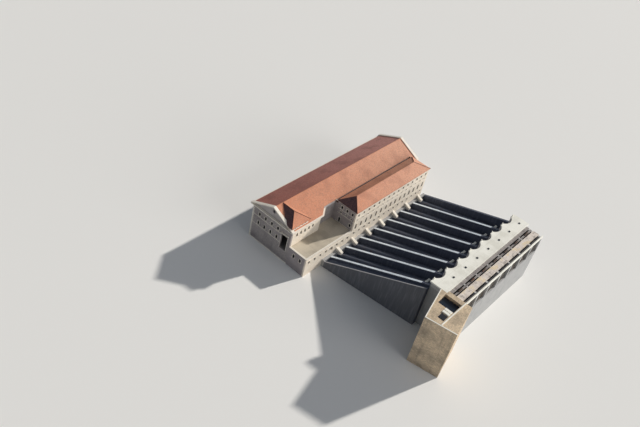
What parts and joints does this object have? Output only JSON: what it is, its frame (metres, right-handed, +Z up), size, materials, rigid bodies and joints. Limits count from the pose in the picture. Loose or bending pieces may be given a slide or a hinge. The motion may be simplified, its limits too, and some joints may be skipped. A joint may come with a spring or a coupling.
{
  "type": "hydroelectric power station, scale model 1:10",
  "caption": "Hydroelectric power station with a long gabled machine hall, a hipped switch-house wing, penstock bays and a multiple-arch intake.",
  "frame": {"origin": "middle of the plan outline, at the foot of the walls", "axes": "+X along the hall from its far gable to its near gable, +Y uphill from the hall to the intake, +Z up"},
  "size_m": [10, 11.313, 2.8],
  "materials": {
    "rubble_stone": "coursed rubble stone",
    "cream_render": "weathered cream render",
    "pale_stone": "dressed pale stone",
    "roof_tiles": "unglazed clay tiles",
    "lead": "weathered sheet metal",
    "dark_glass": "dark window glass",
    "floor_concrete": "plain concrete",
    "roof_screed": "beige roof screed",
    "wall_concrete": "weathered pale concrete",
    "dark_bed": "dark wet concrete",
    "dark_steel": "dark matt paint",
    "deck_concrete": "bleached concrete",
    "walkway_boards": "weathered boards",
    "rusty_steel": "rusty paint",
    "tan_stone": "tan rubble stone"
  },
  "bodies": {
    "root": {"hall_floor": "floor_concrete", "hall_west_wall": "rubble_stone", "hall_east_wall": "rubble_stone", "near_gable_wall": "rubble_stone", "far_gable_wall": "rubble_stone", "near_pavilion_wall": "rubble_stone", "far_pavilion_wall": "rubble_stone", "hall_roof_west": "roof_tiles", "hall_roof_east": "roof_tiles", "near_pavilion_roof": "roof_tiles", "far_pavilion_roof": "roof_tiles", "tower_walls": "cream_render", "tower_roof": "roof_tiles", "hall_cornice": "pale_stone", "near_gable_coping": "pale_stone", "far_gable_coping": "pale_stone", "hall_windows": "dark_glass", "gable_windows": "dark_glass", "door_hood": "pale_stone", "wing_front_wall": "cream_render", "wing_end_walls": "cream_render", "wing_floors": "floor_concrete", "wing_roof": "roof_tiles", "wing_cornice": "pale_stone", "valley_gutter": "lead", "wing_windows": "dark_glass", "annex_front_wall": "cream_render", "annex_near_wall": "cream_render", "annex_roof": "roof_screed", "annex_floor": "floor_concrete", "annex_coping": "pale_stone", "annex_windows": "dark_glass", "thrust_wall": "wall_concrete", "dividing_walls": "wall_concrete", "penstock_beds": "dark_bed", "penstocks": "dark_steel", "penstock_saddles": "dark_bed", "penstock_collars": "dark_steel", "anchor_blocks": "cream_render", "service_slope": "dark_bed", "side_wall": "wall_concrete", "buttresses": "wall_concrete", "arch_wall": "wall_concrete", "intake_deck": "deck_concrete", "deck_hatches": "dark_steel", "intake_floor": "dark_bed", "canal_wall": "wall_concrete", "rack_piers": "wall_concrete", "rack_walkways": "walkway_boards", "gates": "dark_steel", "gate_hoists": "rusty_steel", "trash_racks": "dark_steel", "parapet_beam": "deck_concrete", "near_abutment": "tan_stone"}
  },
  "joints": []
}
